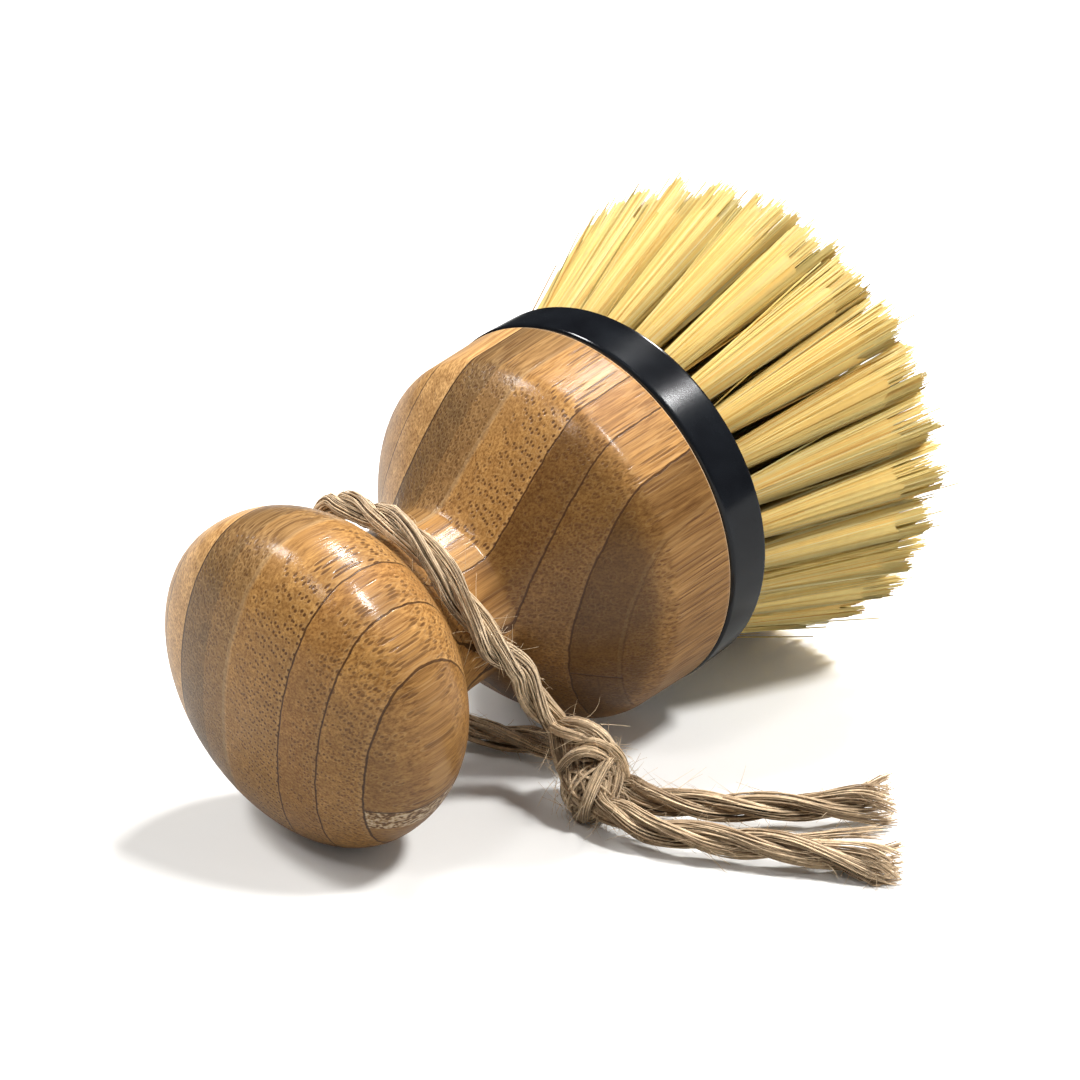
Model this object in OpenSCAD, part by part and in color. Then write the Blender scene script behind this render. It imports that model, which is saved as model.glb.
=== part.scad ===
// Palm-sized round scrubbing brush. A turned handle of laminated bamboo has an egg-shaped knob, a neck and a
// wide head. A black moulded base plugs into the head and holds rings of flared plant-fibre tufts, and a jute
// twine is looped round the neck and tied in one overhand knot.
// The brush lies as it comes to rest: on its knob and on the lowest tuft of its outer ring.
// Every piece but the twine is drawn upright first, with the seam between wood and base at z = 0, and is then
// leaned over as one. All sizes are in millimetres.

/* [Handle] */
// Radius of the wood at the seam with the base
head_r = 25.8; // [23:0.1:29]
// How much smaller the rim is at its shoulder than at the seam
rim_draft = 0.5; // [0.2:0.1:1.5]
// Length of the rim, from the seam to the shoulder
rim_len = 9.4; // [7:0.1:12]
// Length of the flare, from the shoulder to the start of the neck
flare_len = 15.5; // [13:0.1:19]
// Radius of the neck
neck_r = 11.5; // [9.5:0.1:13]
// From the start of the neck to the knob's widest place
knob_reach = 22.3; // [19:0.1:25]
// Radius of the knob at its widest place
knob_r = 21.3; // [18.5:0.1:24]
// From the knob's widest place to its end
knob_end_len = 11.3; // [9:0.1:14]
// From the knob's widest place to where its egg shape would close inside the neck
knob_neck_len = 14.1; // [12:0.1:16]
// Chamfer on the wood's edge at the seam
seam_chamfer = 0.4; // [0.2:0.1:0.8]

/* [Base] */
// Height of the black band that shows
band_h = 6.9; // [5.5:0.1:8]
// How far the band stands proud of the wood
band_proud = 0.2; // [0:0.1:0.6]
// Rounding of the band's edges
band_round = 0.6; // [0.3:0.1:1]
// Radius of the spigot that plugs into the wood
spigot_r = 14; // [10:0.5:16]
// Length of the spigot
spigot_len = 5; // [3:0.5:6]
// Clearance round the spigot
socket_clearance = 0.1; // [0.05:0.05:0.2]
// Room for glue past the spigot's end
glue_room = 0.5; // [0.2:0.1:1]

/* [Tufts] */
// From the base's edge to the centres of the outer ring of holes
rim_margin = 5.45; // [4.9:0.05:6.5]
// Smallest distance between neighbouring holes in a ring
hole_pitch = 4.5; // [4.2:0.1:5.4]
// Radius of a tuft's hole
hole_r = 1.65; // [1.4:0.05:1.75]
// Depth of a tuft's hole, along its slant
hole_depth = 5; // [4:0.1:5.2]
// Clearance between a tuft's root and its hole
root_clearance = 0.05; // [0.02:0.01:0.1]
// Turn of the rings of holes about the brush's axis, in degrees
hole_turn = -5.1; // [-6:0.1:6]
// Length of a tuft outside its hole, to its longest strand
tuft_len = 30.6; // [24:0.1:36]
// How much shorter the shortest strand of a tuft is than its longest
ragged = 2; // [0.5:0.1:3]
// Depth of the grooves between a tuft's strands at its tip, as a share of its width
groove = 0.14; // [0.05:0.01:0.25]
// Slant of the outer ring of tufts away from the axis, in degrees
flare_angle = 20.5; // [16:0.05:24]
// Gap between neighbouring tufts at their tips
tip_gap = 0.4; // [0.2:0.1:0.8]
// Thickness of the flat wire that anchors a tuft
anchor_t = 0.3; // [0.2:0.05:0.4]
// Height of an anchor
anchor_h = 2; // [1.5:0.1:2.5]
// Height of folded fibre under an anchor
fold_h = 0.5; // [0.3:0.1:0.8]

/* [Twine] */
// Diameter of the jute twine
twine_d = 3.8; // [3:0.1:3.9]

/* [Hidden] */
$fn = 48;

// The knob's outline is an egg: these powers make its end fuller than its neck side.
KNOB_END_POWER = 2.25;
KNOB_NECK_POWER = 2.15;
// Where the neck's curve leaves the egg, in degrees from its widest place.
KNOB_JOIN = 47;
// Points on each curve of the handle's outline.
FLARE_POINTS = 16;
NECK_POINTS = 8;
EGG_STEP = 6;
EDGE_STEP = 15;
RINGS = 5;
HOLE_OVERSHOOT = 1;
// Strands that show round a tuft, in the outer ring and in the others.
OUTER_STRANDS = 10;
INNER_STRANDS = 7;
// Steps in which the strands' lengths are dealt out, round a tuft and from tuft to tuft.
STRAND_STEP = 0.618;
TUFT_STEP = 0.382;

band_r = head_r + band_proud;
outer_ring_r = band_r - rim_margin;
root_r = hole_r - root_clearance;
anchor_w = 2 * root_r - 0.1;

shoulder = [head_r - rim_draft, -rim_len];
neck = [neck_r, -rim_len - flare_len];
knob_z = neck.y - knob_reach;

// Outline of the handle

function lerp(a, b, t) = a + (b - a) * t;
function bezier(a, b, c, d, t) =
    pow(1 - t, 3) * a + 3 * pow(1 - t, 2) * t * b + 3 * (1 - t) * t * t * c + t * t * t * d;
function curve(a, b, c, d, n) = [for (i = [0 : n]) bezier(a, b, c, d, i / n)];

// A point on the egg, at an angle from its widest place: positive towards the neck.
function egg(angle) =
    let (p = angle > 0 ? KNOB_NECK_POWER : KNOB_END_POWER,
         len = angle > 0 ? knob_neck_len : -knob_end_len)
    [knob_r * pow(cos(angle), 2 / p), knob_z + len * pow(abs(sin(angle)), 2 / p)];

knob_join = egg(KNOB_JOIN);
join_step = egg(KNOB_JOIN + 0.5) - egg(KNOB_JOIN - 0.5);
join_tangent = join_step / norm(join_step);
neck_span = norm(neck - knob_join);

flare_curve = curve(shoulder, shoulder + [-0.6, -0.32 * flare_len], neck + [0, 0.16 * flare_len], neck,
                    FLARE_POINTS);
neck_curve = curve(neck, neck - [0, 0.42 * neck_span], knob_join + 0.36 * neck_span * join_tangent, knob_join,
                   NECK_POINTS);
knob_curve = [for (a = [KNOB_JOIN - EGG_STEP : -EGG_STEP : -90 + EGG_STEP / 2]) egg(a)];
knob_end = [0, knob_z - knob_end_len];

handle_outline = concat(
    [[0, -spigot_len - glue_room], [spigot_r + socket_clearance, -spigot_len - glue_room],
     [spigot_r + socket_clearance, 0], [head_r - seam_chamfer, 0], [head_r, -seam_chamfer]],
    flare_curve, [for (i = [1 : len(neck_curve) - 1]) neck_curve[i]], knob_curve, [knob_end]);

// Places of the tufts. Each ring is a share of the outer one, in radius and in slant.

function ring_r(ring) = outer_ring_r * (RINGS - ring) / RINGS;
function ring_slant(ring) = flare_angle * (RINGS - ring) / RINGS;
function ring_count(ring) = max(1, floor(2 * PI * ring_r(ring) / hole_pitch));
function ring_tip_r(ring) = ring_r(ring) + tuft_len * sin(ring_slant(ring));
function ring_angle(ring, i) = hole_turn + (i + 0.5) * 360 / ring_count(ring);

// Half the width of a tuft's tip, outwards and across, at which no two neighbours meet.
tip_out = min([for (ring = [0 : RINGS - 1]) (ring_tip_r(ring) - ring_tip_r(ring + 1)) / 2]) - tip_gap / 2;
tip_across = min([for (ring = [0 : RINGS - 1]) ring_tip_r(ring) * sin(180 / ring_count(ring))])
    - tip_gap / 2;

// Points of a tuft, with its hole's mouth at z = 0. Every second point is in a groove between two strands.

function strands(ring) = ring == 0 ? OUTER_STRANDS : INNER_STRANDS;
function strand_end(ring, i, strand) =
    tuft_len - ragged * ((STRAND_STEP * (strand % strands(ring)) + TUFT_STEP * i) % 1);
function tip_z(ring, i, k) =
    let (end = strand_end(ring, i, floor(k / 2)))
    k % 2 == 0 ? end : min(end, strand_end(ring, i, floor(k / 2) + 1)) - ragged / 4;
function root_section(ring, z) =
    [for (k = [0 : 2 * strands(ring) - 1])
        let (a = 180 * k / strands(ring)) [root_r * cos(a), root_r * sin(a), z]];
function tip_section(ring, i) =
    [for (k = [0 : 2 * strands(ring) - 1])
        let (a = 180 * k / strands(ring), share = k % 2 == 0 ? 1 : 1 - groove)
        [tip_out * share * cos(a), tip_across * share * sin(a), tip_z(ring, i, k)]];

// Where a point of a tuft is on the upright brush.
function on_brush(ring, i, p) =
    let (slant = ring_slant(ring), angle = ring_angle(ring, i),
         r = ring_r(ring) + p.x * cos(slant) + p.z * sin(slant))
    [r * cos(angle) - p.y * sin(angle), r * sin(angle) + p.y * cos(angle),
     band_h + p.z * cos(slant) - p.x * sin(slant)];
function ring_tips(ring) =
    [for (i = [0 : ring_count(ring) - 1]) for (p = tip_section(ring, i)) on_brush(ring, i, p)];

// How the brush lies: it leans until its knob and its lowest tuft touch the ground together.

outer_tips = ring_tips(0);
function knob_drop(lean) = max([for (p = knob_curve) p.x * cos(lean) - p.y * sin(lean)]);
function tuft_drop(lean) = max([for (p = outer_tips) p.x * cos(lean) - p.z * sin(lean)]);
function find_lean(low, high, left) =
    let (middle = (low + high) / 2)
    left == 0 ? middle
        : tuft_drop(middle) > knob_drop(middle) ? find_lean(middle, high, left - 1)
        : find_lean(low, middle, left - 1);
lean = find_lean(0, 40, 40);
seam_height = knob_drop(lean);

// The reach of the knob's end and of the furthest tip along the ground, to centre the brush over the origin.
knob_reach_back = min([for (p = concat(knob_curve, [knob_end])) p.y * cos(lean) - p.x * sin(lean)]);
tip_reach = max([for (ring = [0 : RINGS]) for (p = ring_tips(ring)) p.z * cos(lean) + p.x * sin(lean)]);

module lie_down()
    translate([-(knob_reach_back + tip_reach) / 2, 0, seam_height])
        rotate([0, 90 - lean, 0])
            children();

// Puts its children at the mouth of a hole, pointing along its tuft.
module at_hole(ring, i)
    rotate([0, 0, ring_angle(ring, i)])
        translate([ring_r(ring), 0, band_h])
            rotate([0, ring_slant(ring), 0])
                children();

module at_holes(ring)
    for (i = [0 : ring_count(ring) - 1])
        at_hole(ring, i)
            children();

// Handle

module handle()
    color("#c08b4f")
        lie_down()
            rotate_extrude($fn = 96)
                polygon(handle_outline);

// Base

function edge_arc(x, y, from) =
    [for (a = [from : EDGE_STEP : from + 90]) [x + band_round * cos(a), y + band_round * sin(a)]];

base_outline = concat(
    [[0, -spigot_len], [spigot_r, -spigot_len], [spigot_r, 0]],
    edge_arc(band_r - band_round, band_round, -90),
    edge_arc(band_r - band_round, band_h - band_round, 0),
    [[0, band_h]]);

module bristle_base()
    color("#1c1d20")
        lie_down()
            difference() {
                rotate_extrude($fn = 96)
                    polygon(base_outline);
                for (ring = [0 : RINGS])
                    at_holes(ring)
                        translate([0, 0, -hole_depth])
                            cylinder(r = hole_r, h = hole_depth + HOLE_OVERSHOOT, $fn = 24);
            }

// Tufts and their anchors

// A tuft is round where it fills its hole. Outside it widens, and its strands stand apart and end unevenly.
module tuft(ring, i) {
    n = 2 * strands(ring);
    points = concat(root_section(ring, -hole_depth), root_section(ring, root_r / 2), tip_section(ring, i),
                    [[0, 0, tuft_len - ragged / 2]]);
    difference() {
        polyhedron(
            points = points,
            faces = concat(
                [[for (k = [0 : n - 1]) k]],
                [for (k = [0 : n - 1]) let (next = (k + 1) % n) [next, k, n + k, n + next]],
                [for (k = [0 : n - 1]) let (next = (k + 1) % n) [n + next, n + k, 2 * n + k]],
                [for (k = [0 : n - 1]) let (next = (k + 1) % n) [n + next, 2 * n + k, 2 * n + next]],
                [for (k = [0 : n - 1]) let (next = (k + 1) % n) [2 * n + next, 2 * n + k, 3 * n]]),
            convexity = 4);
        translate([-anchor_t / 2 - root_clearance, -hole_r, fold_h - hole_depth])
            cube([anchor_t + 2 * root_clearance, 2 * hole_r, anchor_h + root_clearance]);
    }
}

module tuft_ring(ring)
    color("#e3c77c")
        lie_down()
            for (i = [0 : ring_count(ring) - 1])
                at_hole(ring, i)
                    tuft(ring, i);

module tufts_outer() tuft_ring(0);
module tufts_ring_2() tuft_ring(1);
module tufts_ring_3() tuft_ring(2);
module tufts_ring_4() tuft_ring(3);
module tufts_ring_5() tuft_ring(4);
module tuft_centre() tuft_ring(5);

module anchors()
    color("#b9bcc0")
        lie_down()
            for (ring = [0 : RINGS])
                at_holes(ring)
                    translate([-anchor_t / 2, -anchor_w / 2, fold_h - hole_depth])
                        cube([anchor_t, anchor_w, anchor_h]);

// Twine. The loop leaves the knot, passes over the neck and round its far side, and comes back under it.

loop_points = [
    [-11.5, -15, 10.5], [-13, -14, 13], [-14.5, -13.5, 16], [-16, -13.5, 19], [-18.5, -13.5, 21.5],
    [-21.5, -14, 24.5], [-23.5, -13.5, 28], [-25, -12.5, 31], [-26, -11, 34], [-26.5, -9, 36],
    [-26.5, -6.5, 37.5], [-26, -3, 38], [-25.5, 0.5, 38], [-24.5, 4, 37.5], [-24, 7.5, 37], [-23, 10.5, 36],
    [-23, 13, 33.5], [-22.5, 14.5, 29.5], [-21.5, 15, 25], [-20, 15, 20.5], [-18.5, 14, 16], [-16.5, 12, 12],
    [-14, 9.5, 8], [-11.5, 6, 4.5], [-9, 2.5, 2.5], [-8, -0.5, 2.5], [-7, -3.5, 2.5], [-6.5, -6.5, 3],
    [-6.5, -9.5, 3.5], [-7, -12.5, 4.5]];
upper_tail_points = [
    [-9, -25.5, 4], [-9, -27.5, 4], [-7.5, -29.5, 3.5], [-5, -32.5, 3], [-1.5, -37, 3], [2.5, -41, 3],
    [6, -44.5, 3], [9, -47.5, 3.5], [11, -50, 4]];
lower_tail_points = [
    [-13.5, -25.5, 3.5], [-13.5, -27.5, 3.5], [-13, -31.5, 3], [-11, -36.5, 3], [-8, -42, 3],
    [-5.5, -46.5, 3], [-2.5, -51, 2.5], [0, -54.5, 2], [1.5, -57.5, 2]];
TWINE_SIDES = 8;

function unit(v) = v / norm(v);
function direction(points, i) = unit(points[min(i + 1, len(points) - 1)] - points[max(i - 1, 0)]);
function ring_points(points, i, across) =
    let (along = direction(points, i), side = unit(cross(along, across)), up = cross(side, along))
    [for (k = [0 : TWINE_SIDES - 1])
        points[i] + twine_d / 2 * (cos(360 * k / TWINE_SIDES) * side + sin(360 * k / TWINE_SIDES) * up)];

// A round tube along the points; across is a direction that the route never follows.
module tube(points, across) {
    last = (len(points) - 1) * TWINE_SIDES;
    polyhedron(
        points = [for (i = [0 : len(points) - 1]) each ring_points(points, i, across)],
        faces = concat(
            [[for (k = [0 : TWINE_SIDES - 1]) k]],
            [[for (k = [TWINE_SIDES - 1 : -1 : 0]) last + k]],
            [for (i = [0 : len(points) - 2]) for (k = [0 : TWINE_SIDES - 1])
                let (a = i * TWINE_SIDES, b = (k + 1) % TWINE_SIDES)
                [a + b, a + k, a + k + TWINE_SIDES, a + b + TWINE_SIDES]]),
        convexity = 6);
}

// A short stub that ends flat, square to the cord that starts there.
module seat(from, to) {
    way = unit(to - from);
    translate(from)
        rotate([0, acos(way.z), atan2(way.y, way.x)])
            translate([0, 0, -1])
                cylinder(d = twine_d + 0.6, h = 1, $fn = 12);
}

module twine_loop() color("#9c8058") tube(loop_points, [1, 0, 0]);
module twine_tail_upper() color("#9c8058") tube(upper_tail_points, [0, 0, 1]);
module twine_tail_lower() color("#9c8058") tube(lower_tail_points, [0, 0, 1]);

// The knot is two bulges with a crease between them: the loop's ends leave one, and the tails the other.
KNOT_TOP = [-10, -19.5, 8];
KNOT_TOP_R = 4.2;
KNOT_FOOT = [-12.5, -21.7, 3.9];
KNOT_FOOT_R = 3.9;

module bulge(centre, radius)
    translate(centre)
        sphere(r = radius, $fn = 20);

module twine_knot()
    color("#a3865c") {
        hull() {
            bulge(KNOT_TOP, KNOT_TOP_R);
            seat(loop_points[0], loop_points[1]);
            seat(loop_points[len(loop_points) - 1], loop_points[len(loop_points) - 2]);
        }
        hull() {
            bulge(KNOT_FOOT, KNOT_FOOT_R);
            seat(upper_tail_points[0], upper_tail_points[1]);
            seat(lower_tail_points[0], lower_tail_points[1]);
        }
    }

handle();
bristle_base();
tufts_outer();
tufts_ring_2();
tufts_ring_3();
tufts_ring_4();
tufts_ring_5();
tuft_centre();
anchors();
twine_loop();
twine_knot();
twine_tail_upper();
twine_tail_lower();
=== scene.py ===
"""Palm-sized round scrubbing brush: laminated bamboo handle, black base, plant-fibre tufts and a jute twine.

Lengths are written in millimetres, as in the part's source, and become metres where an object is made.
"""
import math

import bpy
import numpy as np
from mathutils import Matrix, Vector


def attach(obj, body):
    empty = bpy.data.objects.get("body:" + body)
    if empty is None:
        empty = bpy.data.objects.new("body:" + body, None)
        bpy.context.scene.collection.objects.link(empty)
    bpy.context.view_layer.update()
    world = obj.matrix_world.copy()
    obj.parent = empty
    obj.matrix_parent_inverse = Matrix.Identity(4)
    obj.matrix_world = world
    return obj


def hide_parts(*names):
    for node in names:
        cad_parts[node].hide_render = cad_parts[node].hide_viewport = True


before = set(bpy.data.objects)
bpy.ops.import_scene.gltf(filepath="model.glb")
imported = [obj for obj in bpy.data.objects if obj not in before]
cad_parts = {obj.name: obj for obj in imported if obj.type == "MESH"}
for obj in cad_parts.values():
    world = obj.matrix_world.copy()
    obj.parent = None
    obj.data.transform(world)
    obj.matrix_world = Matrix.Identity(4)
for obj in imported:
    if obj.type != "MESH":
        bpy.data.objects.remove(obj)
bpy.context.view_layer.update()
MM = 0.001

# ---------------------------------------------------------------- sizes shared with the part's source

HEAD_R, RIM_DRAFT, RIM_LEN, FLARE_LEN = 25.8, 0.5, 9.4, 15.5
NECK_R, KNOB_REACH, KNOB_R, KNOB_END_LEN, KNOB_NECK_LEN = 11.5, 22.3, 21.3, 11.3, 14.1
SEAM_CHAMFER = 0.4
KNOB_END_POWER, KNOB_NECK_POWER, KNOB_JOIN = 2.25, 2.15, 47
BAND_H = 6.9
OUTER_RING_R, RINGS, HOLE_PITCH, HOLE_TURN = 20.55, 5, 4.5, -5.1
HOLE_R, TUFT_LEN, FLARE_ANGLE, TIP_OUT, TIP_ACROSS = 1.65, 30.6, 20.5, 2.893, 3.264
LEAN, SEAM_X, SEAM_Z = 8.72208, 9.0829, 28.3355
TWINE_D = 3.8

LOOP = [
    (-11.5, -15, 10.5), (-13, -14, 13), (-14.5, -13.5, 16), (-16, -13.5, 19), (-18.5, -13.5, 21.5),
    (-21.5, -14, 24.5), (-23.5, -13.5, 28), (-25, -12.5, 31), (-26, -11, 34), (-26.5, -9, 36), (-26.5, -6.5, 37.5),
    (-26, -3, 38), (-25.5, 0.5, 38), (-24.5, 4, 37.5), (-24, 7.5, 37), (-23, 10.5, 36), (-23, 13, 33.5),
    (-22.5, 14.5, 29.5), (-21.5, 15, 25), (-20, 15, 20.5), (-18.5, 14, 16), (-16.5, 12, 12), (-14, 9.5, 8),
    (-11.5, 6, 4.5), (-9, 2.5, 2.5), (-8, -0.5, 2.5), (-7, -3.5, 2.5), (-6.5, -6.5, 3), (-6.5, -9.5, 3.5),
    (-7, -12.5, 4.5)]
UPPER_TAIL = [
    (-9, -25.5, 4), (-9, -27.5, 4), (-7.5, -29.5, 3.5), (-5, -32.5, 3), (-1.5, -37, 3), (2.5, -41, 3),
    (6, -44.5, 3), (9, -47.5, 3.5), (11, -50, 4)]
LOWER_TAIL = [
    (-13.5, -25.5, 3.5), (-13.5, -27.5, 3.5), (-13, -31.5, 3), (-11, -36.5, 3), (-8, -42, 3), (-5.5, -46.5, 3),
    (-2.5, -51, 2.5), (0, -54.5, 2), (1.5, -57.5, 2)]
LOOSE_PLY = [(-11, -37.5, 3), (-7.5, -41.6, 3.4), (-3.75, -45.5, 3.2), (0.6, -49.6, 3.5), (3.8, -53.7, 4)]

# The brush is drawn upright, with the seam at z = 0, and then leaned over: these are its axes in the row frame.
AXIS = np.array([math.cos(math.radians(LEAN)), 0, math.sin(math.radians(LEAN))])
UP = np.array([-math.sin(math.radians(LEAN)), 0, math.cos(math.radians(LEAN))])
SIDE = np.array([0.0, 1.0, 0.0])
SEAM = np.array([SEAM_X, 0, SEAM_Z])


def lie_down(points):
    """Upright places (x, y, z) in mm, as places in the row frame."""
    p = np.asarray(points, float)
    return SEAM - p[..., :1] * UP + p[..., 1:2] * SIDE + p[..., 2:] * AXIS


def add_object(name, data):
    made = bpy.data.objects.new(name, data)
    bpy.context.scene.collection.objects.link(made)
    return made


# ---------------------------------------------------------------- camera

camera = add_object("camera", bpy.data.cameras.new("camera"))
bpy.context.scene.camera = camera
camera.data.lens = 70
camera.data.clip_start, camera.data.clip_end = 0.01, 50
look = Vector((0.67776637, 0.62177676, -0.39246198))
right = Vector((0.67601461, -0.73688822, 0))
above = Vector((0.28920061, 0.26531003, 0.91976823))
facing = Matrix((right, above, -look)).transposed().to_4x4()
camera.matrix_world = Matrix.Translation(Vector((-181.368, -168.458, 132.721)) * MM) @ facing

# ---------------------------------------------------------------- meshes

TUBE_SIDES = 3


def add_mesh(name, points, faces, material, tones=None, out=None):
    """A mesh object that rides on the root. Points are in mm, tones colour them, and out is the way each one faces."""
    mesh = bpy.data.meshes.new(name)
    points = np.asarray(points, np.float32) * MM
    sizes = np.array([len(face) for face in faces])
    corners = np.concatenate(faces)
    mesh.vertices.add(len(points))
    mesh.vertices.foreach_set("co", points.ravel())
    mesh.loops.add(len(corners))
    mesh.loops.foreach_set("vertex_index", corners.astype(np.int32))
    mesh.polygons.add(len(sizes))
    starts = np.concatenate([[0], np.cumsum(sizes)[:-1]])
    mesh.polygons.foreach_set("loop_start", starts.astype(np.int32))
    mesh.polygons.foreach_set("use_smooth", np.full(len(sizes), True))
    mesh.update(calc_edges=True)
    mesh.validate()
    if tones is not None:
        layer = mesh.color_attributes.new("tone", "FLOAT_COLOR", "POINT")
        rgba = np.ones((len(points), 4), np.float32)
        rgba[:, :tones.shape[1]] = tones
        layer.data.foreach_set("color", rgba.ravel())
    if out is not None:
        layer = mesh.attributes.new("out", "FLOAT_VECTOR", "POINT")
        layer.data.foreach_set("vector", out.astype(np.float32).ravel())
    mesh.materials.append(material)
    made = add_object(name, mesh)
    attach(made, "root")
    return made


def unit(v):
    return v / np.maximum(np.linalg.norm(v, axis=-1, keepdims=True), 1e-9)


def grid_faces(rows, around):
    """Quads between the points of neighbouring rings, as an array of the corners' numbers."""
    row, k = np.meshgrid(np.arange(rows - 1), np.arange(around), indexing="ij")
    a, b = row * around + k, row * around + (k + 1) % around
    return np.stack([a, b, b + around, a + around], -1).reshape(-1, 4)


def tubes(paths, radii, tones):
    """Thin tubes of one length in steps. paths is (tubes, steps, 3), radii (tubes, steps), tones (tubes, steps, n)."""
    count, steps = paths.shape[:2]
    along = unit(np.gradient(paths, axis=1))
    hint = np.where(np.abs(along[:, :1, 2:]) > 0.8, [[[1.0, 0, 0]]], [[[0, 0, 1.0]]])
    across = unit(np.cross(along, np.broadcast_to(hint, along.shape)))[:, :, None]
    upward = np.cross(across[:, :, 0], along)[:, :, None]
    angle = (np.arange(TUBE_SIDES) * 2 * np.pi / TUBE_SIDES)[:, None]
    ring = np.cos(angle) * across + np.sin(angle) * upward
    points = (paths[:, :, None] + ring * radii[:, :, None, None]).reshape(-1, 3)
    first = (np.arange(count) * steps * TUBE_SIDES)[:, None]
    quads = (first[..., None] + grid_faces(steps, TUBE_SIDES)).reshape(-1, 4)
    ends = first + (steps - 1) * TUBE_SIDES + np.arange(TUBE_SIDES)
    return points, [*quads, *ends], np.repeat(tones.reshape(-1, tones.shape[-1]), TUBE_SIDES, axis=0)


def merge(parts):
    """The points, faces and tones of several meshes as one mesh's."""
    points, faces, tones = [], [], []
    base = 0
    for part_points, part_faces, part_tones in parts:
        points.append(part_points)
        faces += [face + base for face in part_faces]
        tones.append(part_tones)
        base += len(part_points)
    return np.vstack(points), faces, np.vstack(tones)


def lathe(outline, around):
    """A surface turned round the brush's axis. The outline is [radius, height] from one end to the other."""
    angle = np.arange(around) * 2 * np.pi / around
    points = np.stack([outline[:, :1] * np.cos(angle), outline[:, :1] * np.sin(angle),
                       np.repeat(outline[:, 1:], around, 1)], -1).reshape(-1, 3)
    return lie_down(points), grid_faces(len(outline), around)[:, [0, 3, 2, 1]]


# ---------------------------------------------------------------- materials


class Graph:
    """The nodes of a material or of the world, with short calls to add and join them."""

    def __init__(self, owner, shader="Principled BSDF"):
        self.owner = owner
        owner.use_nodes = True
        self.tree = owner.node_tree
        self.shader = self.tree.nodes[shader]

    def put(self, socket, value):
        if isinstance(value, bpy.types.NodeSocket):
            self.tree.links.new(value, socket)
        else:
            socket.default_value = value

    def node(self, kind, inputs, **settings):
        node = self.tree.nodes.new("ShaderNode" + kind)
        for key, value in settings.items():
            setattr(node, key, value)
        for key, value in inputs.items():
            self.put(node.inputs[key], value)
        return node

    def add(self, kind, inputs, out=0, **settings):
        return self.node(kind, inputs, **settings).outputs[out]

    def finish(self, **inputs):
        for key, value in inputs.items():
            self.put(self.shader.inputs[key.replace("_", " ")], value)
        return self.owner

    def position(self):
        return self.add("TexCoord", {}, out="Object")

    def normal(self):
        return self.add("TexCoord", {}, out="Normal")

    def ray(self, kind):
        return self.add("LightPath", {}, out=f"Is {kind} Ray")

    def math(self, operation, a, b=0.0, c=0.0, **settings):
        return self.add("Math", {0: a, 1: b, 2: c}, operation=operation, **settings)

    def plus(self, a, b):
        return self.math("ADD", a, b)

    def minus(self, a, b):
        return self.math("SUBTRACT", a, b)

    def times(self, a, b):
        return self.math("MULTIPLY", a, b)

    def most(self, a, b):
        return self.math("MAXIMUM", a, b)

    def scale(self, value, factor, offset):
        return self.math("MULTIPLY_ADD", value, factor, offset)

    def line(self, value, place, half):
        """One where the value is within half of the place, and nought a little further off."""
        off = self.math("ABSOLUTE", self.minus(value, place))
        return self.math("MULTIPLY_ADD", off, -2 / half, 3.0, use_clamp=True)

    def vector(self, operation, a, b, out=0):
        return self.add("VectorMath", {0: a, 1: b}, out=out, operation=operation)

    def dot(self, vector, direction):
        return self.vector("DOT_PRODUCT", vector, tuple(direction), out=1)

    def normalized(self, a, b):
        return self.add("VectorMath", {0: self.vector("ADD", a, b)}, operation="NORMALIZE")

    def ramp(self, factor, stops, interpolation="LINEAR"):
        """A colour ramp; each stop is (place, number) or (place, (r, g, b))."""
        node = self.tree.nodes.new("ShaderNodeValToRGB")
        node.color_ramp.interpolation = interpolation
        while len(node.color_ramp.elements) < len(stops):
            node.color_ramp.elements.new(0.5)
        # A stop that is moved may change its place in the list, so all are placed before any is coloured.
        for element, (place, _) in zip(node.color_ramp.elements, stops):
            element.position = place
        for element, (_, value) in zip(node.color_ramp.elements, stops):
            element.color = (*value, 1) if isinstance(value, tuple) else (value, value, value, 1)
        self.put(node.inputs[0], factor)
        return node.outputs[0]

    def mix(self, factor, a, b, blend="MIX"):
        colours = {key: (*value, 1) if isinstance(value, tuple) else value for key, value in ((6, a), (7, b))}
        return self.add("Mix", {0: factor, **colours}, out=2, data_type="RGBA", blend_type=blend)

    def grain(self, scale, detail):
        return self.add("TexNoise", {"Vector": self.position(), "Scale": scale, "Detail": detail})

    def noise(self, across, level, along, scale, detail=2.0, roughness=0.5):
        """Noise with its own scale in mm over each of the wood's three directions."""
        place = [self.times(value, number) for value, number in zip((across, level, along), scale)]
        vector = self.add("CombineXYZ", dict(enumerate(place)))
        return self.add("TexNoise", {"Vector": vector, "Scale": 1.0, "Detail": detail, "Roughness": roughness})

    def dots(self, across, level, scale, randomness):
        """Cells over the end grain: how far from the cell's centre, that way in parts, and three chances a cell."""
        cell = self.add("CombineXYZ", {0: across, 1: level})
        near = self.node("TexVoronoi", {"Vector": cell, "Scale": scale, "Randomness": randomness},
                         voronoi_dimensions="2D")
        away = self.vector("SUBTRACT", cell, near.outputs["Position"])
        way = self.node("SeparateXYZ", {0: away}).outputs
        luck = self.node("SeparateColor", {0: near.outputs["Color"]}).outputs
        return near.outputs["Distance"], way, luck


def look_of(name):
    return Graph(bpy.data.materials.new(name))


# The block of bamboo that the handle is turned from: its turn about the brush's axis, and what ramps over it span.
BLOCK_TURN = math.radians(15.1)
BLOCK = 64
# The joints between its strips, by their distance from its middle.
JOINTS = (-21.5, -16.54, -11.28, -6.11, 11.31, 16.6, 21.9)
FAINT_JOINT = -21.5
# One strip has a joint across it as well: the strip's middle, and half its width.
CROSSED_STRIP = (-19.02, 2.48)
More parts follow.
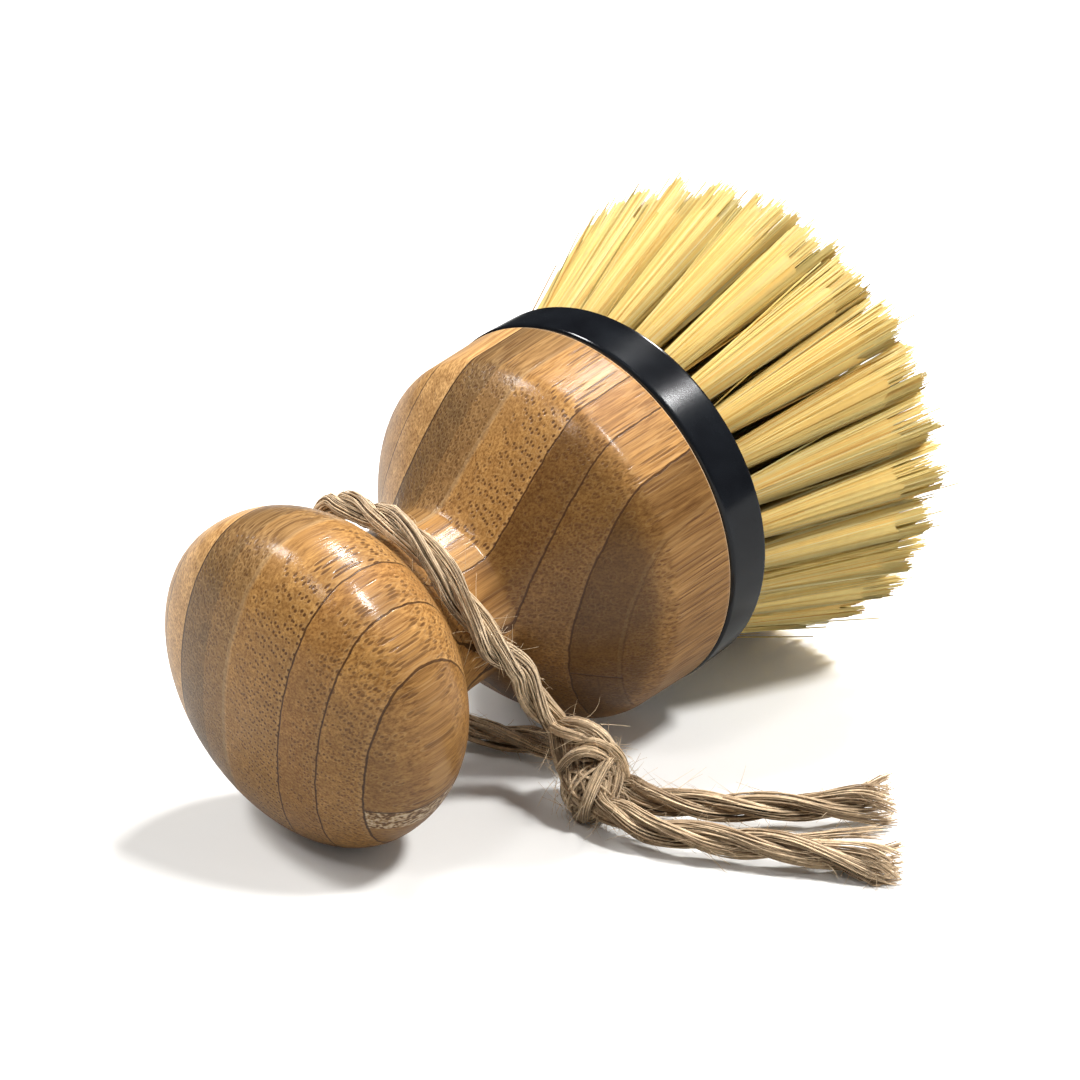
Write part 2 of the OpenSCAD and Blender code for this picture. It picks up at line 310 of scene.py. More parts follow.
# Vessels stand in cells: how many to a mm, and how unevenly. In a pair, the two lie this way from each other.
COARSE_CELLS, FINE_CELLS = (0.97, 0.55), (1.9, 0.85)
PAIR_WAY = (0.89, 0.46)


def bamboo():
    g = look_of("bamboo")
    # u runs across the strips, v along each one's width, and s along the brush: nought at its face, less at its knob.
    across = math.cos(BLOCK_TURN) * SIDE + math.sin(BLOCK_TURN) * UP
    level = -math.sin(BLOCK_TURN) * SIDE + math.cos(BLOCK_TURN) * UP
    front = (SEAM + BAND_H * AXIS) * MM
    place = g.vector("SUBTRACT", g.position(), tuple(front))
    s, u0, v0 = (g.dot(place, way / MM) for way in (AXIS, across, level))
    # The strips were not planed quite parallel to the axis, and their joints waver a little.
    u = g.minus(u0, g.scale(s, 0.0091, 0.32))
    wave = g.scale(g.noise(u0, v0, s, (0.05, 0.05, 0.06), 1.0), 1.2, -0.6)
    uw, vw = g.plus(u, wave), g.minus(v0, wave)
    edge = g.plus(u, g.scale(g.noise(u0, v0, s, (0.5, 0.5, 0.4)), 0.4, -0.2))
    lane, length = g.scale(u, 1 / BLOCK, 0.5), g.scale(s, 1 / BLOCK, 1.0)

    def over_strips(stops, interpolation="LINEAR"):
        """A ramp across the block, its stops in mm from the block's middle."""
        return g.ramp(lane, [(mm / BLOCK + 0.5, value) for mm, value in stops], interpolation)

    glue, pale = 0.0, 0.0
    for joint in JOINTS:
        dark = g.line(edge, joint, 0.085)
        glue = g.most(glue, g.times(dark, 0.3) if joint == FAINT_JOINT else dark)
        pale = g.most(pale, g.line(edge, joint + 0.32, 0.13))
    # The joint across is a little askew, and the strip is coarse and open under it, on the knob.
    crossed = g.math("COMPARE", u, *CROSSED_STRIP)
    cross = g.plus(v0, g.scale(s, 0.05, 6.85))
    glue = g.most(glue, g.times(crossed, g.line(cross, 0.0, 0.1)))
    coarse = g.times(g.times(crossed, g.math("COMPARE", cross, -1.7, 1.7)), g.math("LESS_THAN", s, -45.0))

    # How thick the vessels stand across each strip: dense by its outer skin, sparse by its inner side.
    dense = g.most(coarse, over_strips([
        (-32, 0.6), (-21.4, 0.8), (-21.2, 0.1), (-16.64, 0.3), (-16.4, 1.0), (-14, 0.8), (-11.4, 0.25), (-11.1, 1.0),
        (-8.6, 0.5), (-6.2, 0.05), (-6.0, 1.0), (-2.5, 0.85), (1.0, 0.5), (2.5, 0.3), (5, 0.75), (11.2, 1.0),
        (11.45, 0.2), (20, 0.1), (32, 0.3)]))
    fineness = over_strips([
        (-32, 1.0), (-17, 0.75), (-15, 0.5), (-7, 0.45), (-5.8, 0.0), (-1, 0.25), (3, 0.7), (11, 1.0), (32, 1.0)])
    # Vessels run along the axis. Where they are cut across, they are pairs of dark dots or single small ones.
    off, way, luck = g.dots(uw, vw, *COARSE_CELLS)
    there = g.math("GREATER_THAN", dense, g.times(luck[0], 0.95))
    along_pair = g.math("MULTIPLY_ADD", way[0], PAIR_WAY[0], g.times(way[1], PAIR_WAY[1]))
    aside = g.minus(g.math("ABSOLUTE", along_pair), g.scale(luck[1], 0.08, 0.22))
    over = g.math("MULTIPLY_ADD", way[1], PAIR_WAY[0], g.times(way[0], -PAIR_WAY[1]))
    away = g.math("SQRT", g.plus(g.times(aside, aside), g.times(over, over)))
    pair = g.ramp(g.math("DIVIDE", away, g.scale(luck[2], 0.05, 0.165)), [(0.0, 1.0), (0.65, 0.95), (1.0, 0.0)])
    halo = g.times(g.line(off, 0.40, 0.05), there)
    off, _, luck = g.dots(uw, vw, *FINE_CELLS)
    small = g.times(g.ramp(off, [(0.0, 1.0), (0.16, 0.9), (0.27, 0.0)]),
                    g.math("GREATER_THAN", g.minus(dense, 0.25), luck[0]))
    vessel = g.most(g.times(g.times(pair, there), g.minus(1.0, g.times(fineness, 0.6))), g.times(small, fineness))

    fibres = g.noise(uw, vw, s, (3.4, 3.4, 0.045), 3.0, 0.62)
    streak = g.noise(uw, vw, s, (1.1, 1.1, 0.02), 2.0)
    fleck = g.noise(uw, vw, s, (2.3, 2.3, 1.3), 1.0)
    broad = g.noise(u, v0, s, (0.3, 0.3, 0.03))
    base = over_strips([
        (-32, (0.528, 0.275, 0.089)), (-21.5, (0.31, 0.154, 0.044)), (-16.54, (0.431, 0.218, 0.064)),
        (-11.28, (0.396, 0.193, 0.056)), (-6.11, (0.424, 0.217, 0.064)), (2.5, (0.285, 0.158, 0.058)),
        (6.5, (0.175, 0.104, 0.045)), (11.31, (0.598, 0.342, 0.133)), (16.6, (0.528, 0.286, 0.097)),
        (21.9, (0.514, 0.267, 0.090))], "CONSTANT")
    for shade in (g.ramp(fibres, [(0.33, (0.50, 0.42, 0.34)), (0.54, (1.0, 1.0, 1.0)), (0.70, (1.28, 1.31, 1.34))]),
                  g.ramp(streak, [(0.35, (0.82, 0.78, 0.74)), (0.65, (1.12, 1.13, 1.13))])):
        base = g.mix(1.0, base, shade, "MULTIPLY")
    # Darker end grain and painted shade: on one side of the block, the strips are darkened on the flare between neck
    # and rim, and one all over, where the head lies in the shade of the knob and the twine.
    flare = g.ramp(length, [(0.44, 0.0), (0.52, 1.0), (0.69, 1.0), (0.765, 0.0)])
    dark_strip_and_shade = g.times(g.math("LESS_THAN", u, -16.54), g.ramp(length, [(0.44, 0.0), (0.52, 0.7)]))
    grain_and_shade_share = over_strips([
        (-32, 0.75), (-21.6, 0.75), (-21.4, 0.66), (-16.6, 0.66), (-16.5, 0.54), (-13, 0.54), (-6.3, 0.58),
        (-6.0, 0.0), (4, 0.05), (32, 0.15)])
    at_seam = g.math("GREATER_THAN", s, -BAND_H - SEAM_CHAMFER - 0.05)
    open_wood = g.ramp(fleck, [(0.40, (0.10, 0.045, 0.015)), (0.50, (0.40, 0.24, 0.11)), (0.62, (0.72, 0.56, 0.37))])
    for share, colour in (
            (g.ramp(broad, [(0.4, 0.0), (0.65, 0.35)]), (0.29, 0.146, 0.045)),
            (g.times(dense, 0.18), (0.25, 0.125, 0.036)),
            (g.times(halo, 0.12), (0.78, 0.50, 0.215)),
            (g.times(pale, 0.1), (0.76, 0.49, 0.22)),
            # Painted shade with darker end grain, on one side of the flare and on one strip.
            (g.times(g.most(flare, dark_strip_and_shade), grain_and_shade_share), (0.014, 0.004, 0.0)),
            (g.times(vessel, 0.95), (0.09, 0.036, 0.011)),
            (g.times(g.line(edge, 2.6, 0.3), g.times(streak, 0.25)), (0.78, 0.54, 0.28)),
            (g.times(coarse, 0.8), open_wood),
            (g.times(glue, 0.85), (0.045, 0.017, 0.005)),
            (g.times(at_seam, 0.6), (0.83, 0.60, 0.375))):
        base = g.mix(share, base, colour)

    height = g.plus(g.times(vessel, -0.8), g.times(glue, -1.2))
    height = g.plus(height, g.times(fibres, 0.8))
    height = g.plus(height, g.times(g.times(coarse, fleck), 4.0))
    wood, lacquer = (g.add("Bump", {"Strength": strength, "Distance": 0.00012, "Height": height})
                     for strength in (0.4, 0.34))
    return g.finish(Base_Color=base, Roughness=0.45, Normal=wood, Specular_IOR_Level=0.15,
                    Coat_Weight=g.ramp(length, [(0.0, 0.42), (0.70, 0.4), (0.76, 0.12)]),
                    Coat_Roughness=0.16, Coat_Normal=lacquer)


def black_plastic():
    g = look_of("black_plastic")
    cloud, speck = g.grain(140.0, 4.0), g.grain(2200.0, 2.0)
    colour = g.mix(g.ramp(cloud, [(0.35, 0.0), (0.7, 1.0)]), (0.0045, 0.005, 0.0065), (0.009, 0.0105, 0.013))
    # The moulded side is drafted a little: it leans towards the knob.
    side = g.normalized(g.normal(), tuple(-0.14 * AXIS))
    bump = g.add("Bump", {"Strength": 0.025, "Distance": 0.0001, "Height": speck, "Normal": side})
    return g.finish(Base_Color=colour, Roughness=g.scale(cloud, 0.07, 0.11), Normal=bump, Specular_IOR_Level=0.3)


def plant_fibre():
    g = look_of("plant_fibre")
    # Red is the fibre's own tone, and green how far along the fibre a point is.
    tone, along = g.node("SeparateColor", {0: g.add("Attribute", {}, attribute_name="tone")}).outputs[:2]
    colour = g.ramp(tone, [(0.0, (0.74, 0.44, 0.12)), (0.2, (0.93, 0.68, 0.24)), (0.6, (0.98, 0.83, 0.35)),
                           (1.0, (0.98, 0.90, 0.52))])
    # Painted shade, with some of the fibre's own golden tone: each fibre darkens towards its root, deep between the
    # tufts.
    colour = g.mix(g.ramp(along, [(0.0, 0.42), (0.15, 0.25), (0.4, 0.06), (1.0, 0.0)]), colour, (0.58, 0.36, 0.10))
    colour = g.mix(g.ramp(g.grain(900.0, 2.0), [(0.4, 0.0), (0.75, 0.15)]), colour, (0.70, 0.50, 0.20))
    # Light wanders between the fibres, so a tuft is shaded mostly as one rounded bundle.
    own = g.add("VectorMath", {0: g.normal(), 3: 0.35}, operation="SCALE")
    bundle = g.normalized(own, g.add("Attribute", {}, out=1, attribute_name="out"))
    material = g.finish(Base_Color=colour, Roughness=0.5, Specular_IOR_Level=0.2, Normal=bundle)
    # Some of the light goes through a fibre, and some goes past it into the tuft.
    surface = g.shader.outputs[0]
    for share, kind, inputs in (
            (0.5, "BsdfTranslucent", {0: colour, 1: bundle}),
            (g.times(g.ray("Shadow"), 0.75), "BsdfTransparent", {0: (1.0, 0.93, 0.76, 1)})):
        surface = g.add("MixShader", {0: share, 1: surface, 2: g.add(kind, inputs)})
    g.put(g.tree.nodes["Material Output"].inputs[0], surface)
    return material


def jute():
    g = look_of("jute")
    tone = g.node("SeparateColor", {0: g.add("Attribute", {}, attribute_name="tone")}).outputs[0]
    colour = g.mix(tone, (0.25, 0.16, 0.085), (0.90, 0.68, 0.43))
    colour = g.mix(g.ramp(g.grain(1400.0, 3.0), [(0.35, 0.0), (0.7, 0.4)]), colour, (0.1375, 0.088, 0.04675))
    return g.finish(Base_Color=colour, Roughness=0.85, Specular_IOR_Level=0.2, Sheen_Weight=0.15, Sheen_Roughness=0.6)


def anchor_wire():
    g = look_of("anchor_wire")
    colour = g.mix(g.grain(3000.0, 2.0), (0.45, 0.45, 0.46), (0.62, 0.62, 0.63))
    return g.finish(Base_Color=colour, Metallic=1.0, Roughness=0.35)


FIBRE, JUTE = plant_fibre(), jute()

# ---------------------------------------------------------------- twine

PATH_STEP, KNOT_STEP = 0.9, 0.6
GROUND = 0.12
# A cut end comes loose over this length.
FRAYED = 9


def smooth_path(points, step=PATH_STEP):
    """A Catmull-Rom curve through the points, resampled evenly, and how far along it each place is."""
    p = np.asarray(points, float)
    p = np.vstack([2 * p[0] - p[1], p, 2 * p[-1] - p[-2]])
    t = np.linspace(0, 1, 24, endpoint=False)[:, None]
    line = [0.5 * (2 * b + (c - a) * t + (2 * a - 5 * b + 4 * c - d) * t ** 2 + (3 * b - a - 3 * c + d) * t ** 3)
            for a, b, c, d in zip(p, p[1:], p[2:], p[3:])]
    line = np.vstack([*line, p[-2:-1]])
    far = np.concatenate([[0], np.cumsum(np.linalg.norm(np.diff(line, axis=0), axis=1))])
    even = np.linspace(0, far[-1], max(4, int(far[-1] / step)) + 1)
    return np.stack([np.interp(even, far, line[:, k]) for k in range(3)], -1), even


def side_vectors(line):
    """Two directions square to the line that turn as little as they can along it."""
    along = unit(np.gradient(line, axis=0))
    a = unit(np.cross(along[0], [0.3, 0.2, 1.0]))
    first = []
    for d in along:
        a = unit(a - d * (a @ d))
        first.append(a)
    first = np.array(first)
    return first, np.cross(along, first)


def twist(line, far, diameter=TWINE_D, plies=3, fibres=56, lay=30.0, fray=0.0, phase=0.0, tone=0.0):
    """Fibres of a laid cord: plies wound round the line, and fibres wound round each ply."""
    first, second = side_vectors(line)
    ply_r = diameter * 0.215
    offset = diameter * (0.265 if plies > 1 else 0.0)
    # The plies part towards a cut end, and their fibres spread and end unevenly.
    end = np.clip((far - (far[-1] - FRAYED)) / FRAYED, 0, 1) ** 1.5 * fray
    steps = np.arange(0, far[-1] + 8, 4.0)
    paths, radii, tones = [], [], []
    for ply in range(plies):
        angle = phase + 2 * np.pi * ply / plies + far / lay * 2 * np.pi
        out = np.cos(angle)[:, None] * first + np.sin(angle)[:, None] * second
        turn = -np.sin(angle)[:, None] * first + np.cos(angle)[:, None] * second
        centre = line + out * (offset * (1 + 0.9 * end))[:, None]
        for i in range(fibres):
            inner = i % 4 == 3
            lean = 2 * np.pi * i / fibres + rng.uniform(-0.25, 0.25)
            wind = lean - far / (lay * rng.uniform(0.8, 1.3)) * 2 * np.pi
            wander = np.interp(far, steps, rng.normal(0, 0.13, len(steps)))
            r = ply_r * ((0.55 if inner else 0.9) + wander) * (1 + 1.1 * end)
            path = centre + out * (np.cos(wind) * r)[:, None] + turn * (np.sin(wind) * r)[:, None]
            path += rng.normal(0, 0.28, 3) * (end ** 2)[:, None]
            if fray:
                keep = far * (1 - rng.uniform(0, 1.6) ** 2 / far[-1])
                path = np.stack([np.interp(keep, far, path[:, k]) for k in range(3)], -1)
            paths.append(path)
            radii.append(diameter * rng.uniform(0.021, 0.036) * (1 - 0.3 * end))
            # Painted shade: fibres deep in a ply are darkened to a third of their tone; fibres at a cut end are a
            # little lighter.
            tones.append(np.clip(rng.normal(0.55 + tone, 0.28), 0, 1) * (0.35 if inner else 1) + 0.15 * end)
    return np.array(paths), np.array(radii), np.array(tones)


def packed(centre, radius, count=150, steps=16):
    """A lump of wandering fibres that fills one bulge of the knot."""
    a, b = unit(rng.normal(0, 1, (2, count, 1, 3)))
    b = unit(b - a * (a * b).sum(-1, keepdims=True))
    way = np.linspace(0, 1, steps)[None, :, None] * np.pi * 1.1
    shell = radius * rng.uniform(0.6, 1.0, (count, 1, 1))
    paths = np.array(centre) + shell * (a * np.cos(way) + b * np.sin(way))
    tones = np.clip(rng.normal(0.42, 0.22, (count, 1)), 0, 1)
    return paths, np.full((count, steps), 0.22), np.repeat(tones, steps, 1)


def hairs(line, count, longest, steps=5):
    """Loose hairs that stand out from a cord."""
    first, second = side_vectors(line)
    t = np.linspace(0, 1, steps)[:, None]
    paths = []
    for _ in range(count):
        i = rng.integers(0, len(line))
        a = rng.uniform(0, 2 * np.pi)
        out = np.cos(a) * first[i] + np.sin(a) * second[i]
        along = unit(np.gradient(line, axis=0)[i]) * rng.choice([-1, 1])
        length = longest * rng.uniform(0.15, 1) ** 1.7
        bend = rng.normal(0, 0.35, 3)
        way = along * rng.uniform(0.3, 1.2) + out * rng.uniform(0.2, 1.0)
        path = line[i] + out * TWINE_D * 0.42 + way * t * length + bend * t ** 2 * length * 0.6
        path[:, 2] = np.maximum(path[:, 2], 0.15)
        paths.append(path)
    radii = np.linspace(1, 0.4, steps)[None] * rng.uniform(0.025, 0.05, count)[:, None]
    return np.array(paths), radii, np.repeat(rng.uniform(0.3, 1, count)[:, None], steps, 1)


def cord_mesh(name, bundles):
    """One mesh of several bundles of fibres, flat where they lie on the ground."""
    parts = []
    for paths, radii, tones in bundles:
        paths[..., 2] = np.maximum(paths[..., 2], GROUND)
        parts.append(tubes(paths, radii, np.repeat(tones[..., None], 2, -1)))
    points, faces, tones = merge(parts)
    return add_mesh(name, points, faces, JUTE, tones=tones)


rng = np.random.default_rng(7)
loop_line, loop_far = smooth_path(LOOP)
# The tails begin inside the knot.
upper_line, upper_far = smooth_path([(-10.4, -23.7, 4.2), *UPPER_TAIL])
lower_line, lower_far = smooth_path([(-13.2, -23.7, 3.8), *LOWER_TAIL])
loop = cord_mesh("twine_loop_fibres", [twist(loop_line, loop_far)])
upper_tail = cord_mesh("twine_tail_upper_fibres", [twist(upper_line, upper_far, fray=1.0, lay=26, tone=-0.13)])
lower_tail = cord_mesh("twine_tail_lower_fibres",
                       [twist(lower_line, lower_far, fray=1.0, lay=26, phase=1.0, tone=-0.13)])
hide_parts("twine_loop")
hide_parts("twine_tail_upper")
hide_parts("twine_tail_lower")

# The knot: tightened turns of the twine over two packed bulges, placed to the right of, above and before its middle
# as the camera sees it. Each turn has its diameter, its tone and its route. The tones are painted light and shade: the
# turns on top are lighter, and the one on the left is darker.
KNOT = np.array([-11.2, -20.6, 6.0])
KNOT_FRAME = np.array([[0.676, -0.737, 0], [0.289, 0.265, 0.920], [-0.678, -0.622, 0.392]])
TURNS = [
    (3.0, 0.25, [(-4.3, 5.7, -1.5), (-3.2, 5.3, 0.6), (-1.5, 5.1, 2.0), (0.5, 4.4, 2.5), (2.2, 2.7, 1.8),
                 (2.9, 0.6, 0.7), (2.3, -1.4, -0.6), (0.6, -2.4, -1.8)]),
    (2.8, 0.15, [(-2.9, 0.2, 0.3), (-2.0, 2.1, 1.9), (-0.5, 3.2, 3.0), (1.3, 2.9, 3.1), (2.9, 1.6, 2.1),
                 (3.6, -0.4, 0.7), (3.2, -2.4, -0.8)]),
    (3.3, 0.05, [(1.9, 1.9, 1.2), (1.1, 0.4, 2.6), (0.5, -1.3, 3.2), (0.1, -3.0, 3.1), (0.0, -4.6, 2.2),
                 (0.3, -5.6, 0.4), (0.9, -5.4, -1.6)]),
    (2.6, -0.2, [(-3.9, 4.4, -0.6), (-3.4, 2.2, 0.3), (-2.8, -0.2, 0.9), (-2.3, -2.6, 1.2), (-1.6, -4.6, 0.8),
                 (-0.5, -5.7, -0.4)]),
    (2.8, -0.05, [(2.9, 0.2, 1.2), (2.7, -1.6, 1.9), (2.2, -3.4, 1.9), (1.4, -4.9, 1.2), (0.6, -5.6, -0.2)])]
BULGES = [((-10.3, -19.3, 7.6), 3.2), ((-12.2, -21.6, 4.2), 3.6)]

knot_lines = [smooth_path(KNOT + np.array(route) @ KNOT_FRAME, KNOT_STEP) for _, _, route in TURNS]
knot = cord_mesh("twine_knot_fibres", [
    *[twist(line, far, diameter=size, plies=2, fibres=60, lay=24, tone=tone)
      for (line, far), (size, tone, _) in zip(knot_lines, TURNS)],
    *[packed(centre, radius) for centre, radius in BULGES]])
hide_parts("twine_knot")

# Hairs stand all along each cord, and closer at the cut ends.
loop_fuzz = cord_mesh("twine_loop_hairs", [hairs(loop_line[6:-4], 380, 3.2)])
knot_fuzz = cord_mesh("twine_knot_hairs", [hairs(line, 110, 3.5) for line, _ in knot_lines])
upper_fuzz, lower_fuzz = (cord_mesh(name, [hairs(line, 170, 4.0), hairs(line[-5:], 60, 3.5)]) for name, line in (
    ("twine_tail_upper_hairs", upper_line), ("twine_tail_lower_hairs", lower_line)))
loose = cord_mesh("twine_loose_ply", [twist(*smooth_path(LOOSE_PLY), diameter=1.9, plies=1, fibres=40, fray=1.0)])


# ---------------------------------------------------------------- handle

AROUND = 256
# The wood's face is hidden by the base. It lies this much behind the seam, and is drawn only outside this radius.
FACE_GAP, FACE_R = 0.02, 18


def bezier(a, b, c, d, count):
    t = np.linspace(0, 1, count + 1)[:, None]
    return (1 - t) ** 3 * a + 3 * (1 - t) ** 2 * t * b + 3 * (1 - t) * t * t * c + t ** 3 * d


def egg(degrees):
    """A point on the knob, at an angle from its widest place, positive towards the neck."""
    power = KNOB_NECK_POWER if degrees > 0 else KNOB_END_POWER
    length = KNOB_NECK_LEN if degrees > 0 else -KNOB_END_LEN
    a = math.radians(degrees)
    return np.array([KNOB_R * max(math.cos(a), 0) ** (2 / power),
                     -RIM_LEN - FLARE_LEN - KNOB_REACH + length * abs(math.sin(a)) ** (2 / power)])


shoulder = np.array([HEAD_R - RIM_DRAFT, -RIM_LEN])
neck = np.array([NECK_R, -RIM_LEN - FLARE_LEN])
join = egg(KNOB_JOIN)
tangent = unit(egg(KNOB_JOIN + 0.5) - egg(KNOB_JOIN - 0.5))
span = np.linalg.norm(neck - join)
face = [[FACE_R, -FACE_GAP], [HEAD_R - SEAM_CHAMFER - 0.05, -FACE_GAP], [HEAD_R - SEAM_CHAMFER, -FACE_GAP]]
rim = np.linspace([HEAD_R, -SEAM_CHAMFER], shoulder, 18)
flare = bezier(shoulder, shoulder + [-0.6, -0.32 * FLARE_LEN], neck + [0, 0.16 * FLARE_LEN], neck, 64)
waist = bezier(neck, neck - [0, 0.42 * span], join + 0.36 * span * tangent, join, 40)
knob = np.array([egg(a) for a in np.arange(KNOB_JOIN - 1, -90, -1)])
knob_end = [[0.01, egg(-90)[1]]]
outline = np.vstack([face, rim, flare[1:], waist[1:], knob, knob_end])
handle = add_mesh("handle_lathe", *lathe(outline, AROUND), bamboo())
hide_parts("handle")

# ---------------------------------------------------------------- base and anchors

for node_name, material in (("bristle_base", black_plastic()), ("anchors", anchor_wire())):
    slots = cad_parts[node_name].data.materials
    slots.clear()
    slots.append(material)

# ---------------------------------------------------------------- tufts

# Each ring's node, and how many fibres a tuft of it has.
TUFT_RINGS = [("tufts_outer", 330), ("tufts_ring_2", 250), ("tufts_ring_3", 200), ("tufts_ring_4", 190),
              ("tufts_ring_5", 190), ("tuft_centre", 190)]
STRANDS = 9
# The turn from one strand to the next, close to the golden angle in radians, which spreads them evenly.
STRAND_TURN = 2.4
# Fibres begin this far down in their hole.
ROOT_DEPTH = 1.0
FIBRE_STEPS = 4
LOOSE_SHARE = 0.045
FIBRE_GROUND = 0.03


def seat_tuft(local, radius, slant, angle):
    """Points of a tuft with its hole's mouth at z = 0, as places in the row frame."""
    a, b = math.radians(slant), math.radians(angle)
    x, y, z = np.moveaxis(local, -1, 0)
    out, up = x * math.cos(a) + z * math.sin(a) + radius, -x * math.sin(a) + z * math.cos(a) + BAND_H
    return lie_down(np.stack([out * math.cos(b) - y * math.sin(b), out * math.sin(b) + y * math.cos(b), up], -1))


def fibres_of(place, count):
    """The fibres of one tuft, from inside its hole to its ragged tip."""
    # Half of the fibres lie in the outer part, where they are seen.
    spread = np.sqrt(np.where(rng.uniform(0, 1, count) < 0.5, rng.uniform(0.75, 1, count), rng.uniform(0, 1, count)))
    where = rng.uniform(0, 2 * np.pi, count)
    root = np.stack([spread * np.cos(where), spread * np.sin(where)], -1)
    # Fibres gather in strands, which end in points of their own.
    aim = np.arange(STRANDS) * STRAND_TURN + rng.uniform(0, 6)
    strand = np.sqrt((np.arange(STRANDS) + 0.5) / STRANDS)[:, None] * np.stack([np.cos(aim), np.sin(aim)], -1)
    to_strand = np.linalg.norm(root[:, None] - strand[None], axis=-1)
    mine = np.argmin(to_strand, 1)
    tip = root * 0.8 + strand[mine] * 0.2 + rng.normal(0, 0.04, (count, 2))
    length = TUFT_LEN + 0.7 - rng.uniform(0, 2.2, STRANDS)[mine] - to_strand.min(1) * 2.5 + rng.normal(0, 0.55, count)
    loose = rng.uniform(0, 1, count) < LOOSE_SHARE
    tip[loose] += np.clip(rng.normal(0, 0.35, (loose.sum(), 2)), -0.6, 0.6)
    length[loose] += rng.uniform(-5, 2.8, loose.sum())
    t = np.linspace(0, 1, FIBRE_STEPS)[None, :, None]
    bow = rng.normal(0, 0.07, (count, 1, 2)) * t * (1 - t) * 4
    wide = np.array([TIP_OUT * 1.05, TIP_ACROSS * 1.08])
    xy = root[:, None] * (HOLE_R - 0.12) * (1 - t) + tip[:, None] * wide * t + bow
    z = -ROOT_DEPTH + (length[:, None, None] + ROOT_DEPTH) * t
    radii = rng.uniform(0.085, 0.135, (count, 1)) * np.array([1, 1, 1, 0.8])
    tone = np.repeat(np.clip(rng.normal(0.55, 0.22, (count, 1)), 0, 1), FIBRE_STEPS, 1)
    along = np.broadcast_to(t[..., 0], tone.shape)
    return tubes(seat_tuft(np.concatenate([xy, z], -1), *place), radii, np.stack([tone, along], -1))


def core_of(place, steps=4, around=20):
    """What fills a tuft under the fibres that are seen: a ribbed cone from its hole to short of its tip."""
    t = np.linspace(0, 1, steps)[:, None]
    turn = np.arange(around) * 2 * np.pi / around
    size = 0.89 + 0.05 * np.cos(np.arange(around) * np.pi) + rng.uniform(-0.04, 0.04, around)
    out, across = ((HOLE_R - 0.1) * (1 - t) + reach * t for reach in (TIP_OUT, TIP_ACROSS))
    z = (TUFT_LEN - 5 + rng.uniform(-1.5, 1, around)) * t - ROOT_DEPTH
    points = np.stack([out * size * np.cos(turn), across * size * np.sin(turn), z], -1).reshape(-1, 3)
    faces = [*grid_faces(steps, around), np.arange(around) + (steps - 1) * around]
    tone = np.broadcast_to(rng.uniform(0.05, 0.6, around), (steps, around))
    tones = np.stack([tone, np.broadcast_to(t, (steps, around))], -1).reshape(-1, 2)
    return seat_tuft(points, *place), faces, tones


for ring, (node_name, fibre_count) in enumerate(TUFT_RINGS):
    share = (RINGS - ring) / RINGS
    ring_r = OUTER_RING_R * share
    tuft_count = max(1, int(2 * math.pi * ring_r / HOLE_PITCH))
    parts, ways = [], []
    for i in range(tuft_count):
        place = (ring_r, FLARE_ANGLE * share, HOLE_TURN + (i + 0.5) * 360 / tuft_count)
        foot, top = seat_tuft(np.array([[0, 0, 0], [0, 0, TUFT_LEN]], float), *place)
        middle = unit(top - foot)
        for part in (core_of(place), fibres_of(place, fibre_count)):
            points = part[0]
            points[:, 2] = np.maximum(points[:, 2], FIBRE_GROUND)
            parts.append(part)
            ways.append(unit((points - foot) - ((points - foot) @ middle)[:, None] * middle))
    points, faces, tones = merge(parts)
    piece = add_mesh(node_name + "_fibres", points, faces, FIBRE, tones=tones, out=np.vstack(ways))
    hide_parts(node_name)

# ---------------------------------------------------------------- floor and world

FLOOR_HALF = 6

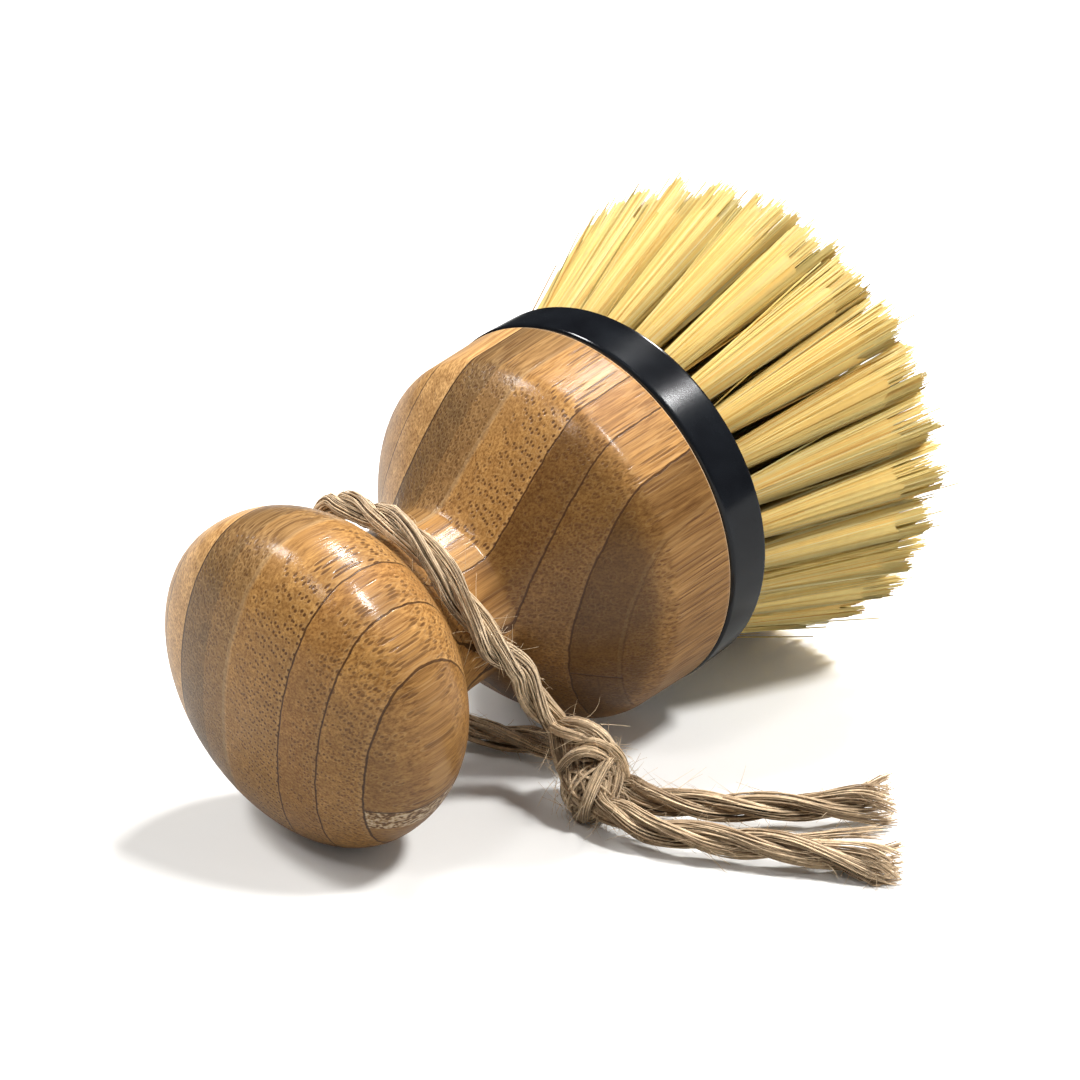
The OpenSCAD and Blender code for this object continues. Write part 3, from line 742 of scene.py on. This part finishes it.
# The camera sees a paler floor than the brush does, so the white ground adds little light to the brush.
ground = look_of("floor")
ground.finish(Base_Color=ground.mix(ground.ray("Camera"), (0.38, 0.38, 0.37), (0.87, 0.86, 0.835)), Roughness=0.9,
              Specular_IOR_Level=0.0)
corners = [(x * FLOOR_HALF, y * FLOOR_HALF, 0) for x, y in ((-1, -1), (1, -1), (1, 1), (-1, 1))]
floor_mesh = bpy.data.meshes.new("floor")
floor_mesh.from_pydata(corners, [], [(0, 1, 2, 3)])
floor_mesh.materials.append(ground.owner)
floor = add_object("floor", floor_mesh)

# White behind the floor, a weak fill on the brush, and dark surroundings in its gloss.
bpy.context.scene.world = bpy.data.worlds.new("studio")
sky = Graph(bpy.context.scene.world, "Background")
level = 0.06
for kind, more in (("Camera", 0.94), ("Glossy", -0.04)):
    level = sky.scale(sky.ray(kind), more, level)
sky.finish(Color=(1, 1, 1, 1), Strength=level)

# ---------------------------------------------------------------- lamps


def add_lamp(name, kind, place, back, energy, glossy):
    """A lamp at a place in metres, which shines the opposite way to back, and is seen in gloss or not."""
    lamp = add_object(name, bpy.data.lights.new(name, kind))
    lamp.data.energy = energy
    lamp.location = place
    lamp.rotation_mode = "QUATERNION"
    lamp.rotation_quaternion = back.to_track_quat("Z", "Y")
    lamp.visible_glossy = glossy
    return lamp.data


# Soft lamps far away: elevation, azimuth counterclockwise from +X, how wide each looks, strength, seen in gloss.
SUNS = [
    ("lamp_right", 58, 12, 11, 2.9, True),
    ("lamp_back", 60, 118, 11, 1.4, True),
    ("lamp_back_low", 42, 110, 22, 0.9, False),
    ("lamp_front", 59, -63, 9, 2.9, True),
    ("lamp_left", 59, -168, 9, 0.45, True),
    ("fill_right", 16, -38, 80, 1.5, False),
    ("fill_left", 12, 125, 60, 0.85, False)]
for name, elevation, azimuth, angle, strength, glossy in SUNS:
    e, a = math.radians(elevation), math.radians(azimuth)
    back = Vector((math.cos(e) * math.cos(a), math.cos(e) * math.sin(a), math.sin(e)))
    lamp = add_lamp(name, "SUN", back, back, strength, glossy)
    lamp.angle = math.radians(angle)

# A narrow reflector by the bristles, low on the camera's right.
REFLECTOR, LIT = Vector((0.055, -0.5, 0.045)), Vector((0.041, 0, 0.022))
reflector = add_lamp("reflector", "SPOT", REFLECTOR, REFLECTOR - LIT, 34.0, False)
reflector.spot_size, reflector.spot_blend, reflector.shadow_soft_size = math.radians(6.0), 0.6, 0.06

bpy.context.scene.view_settings.view_transform = "Standard"
